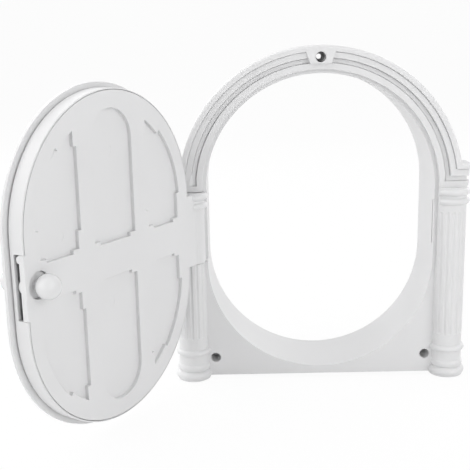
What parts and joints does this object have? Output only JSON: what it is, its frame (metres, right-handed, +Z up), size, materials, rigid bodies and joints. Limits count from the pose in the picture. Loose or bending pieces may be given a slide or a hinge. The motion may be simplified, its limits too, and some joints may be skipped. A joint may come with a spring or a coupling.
{
  "type": "interior pet door",
  "caption": "Arched pet door for an interior house door: trim frame with fluted columns, through-tunnel, and a panelled oval leaf that swings on a column hinge and latches with a knob.",
  "frame": {"origin": "middle of the tunnel's opening, on the plane of the trim's back face", "axes": "+X to the right seen from the trim's front, +Y into the house door along the tunnel, +Z up"},
  "size_m": [0.3492, 0.2385, 0.2785],
  "materials": {
    "white_plastic": "white moulded plastic with a soft sheen",
    "steel": "plain drawn steel"
  },
  "bodies": {
    "surround": {"frame": "white_plastic", "hinge_pin": "steel"},
    "leaf": {"leaf_outer_shell": "white_plastic", "leaf_inner_cover": "white_plastic"},
    "latch": {"latch_arm": "white_plastic", "latch_spindle": "steel", "inner_knob": "white_plastic", "outer_knob": "white_plastic"}
  },
  "joints": [
    {"name": "door_hinge", "type": "hinge", "parent": "surround", "child": "leaf", "pos_m": [-0.1083, -0.016, 0], "axis": [0, 0, -1], "range_deg": [-121.4, 2.6]},
    {"name": "latch_turn", "type": "hinge", "parent": "leaf", "child": "latch", "pos_m": [-0.19238, -0.18446, 0], "axis": [0.8536, -0.521, 0], "range_deg": [0, 90]}
  ]
}
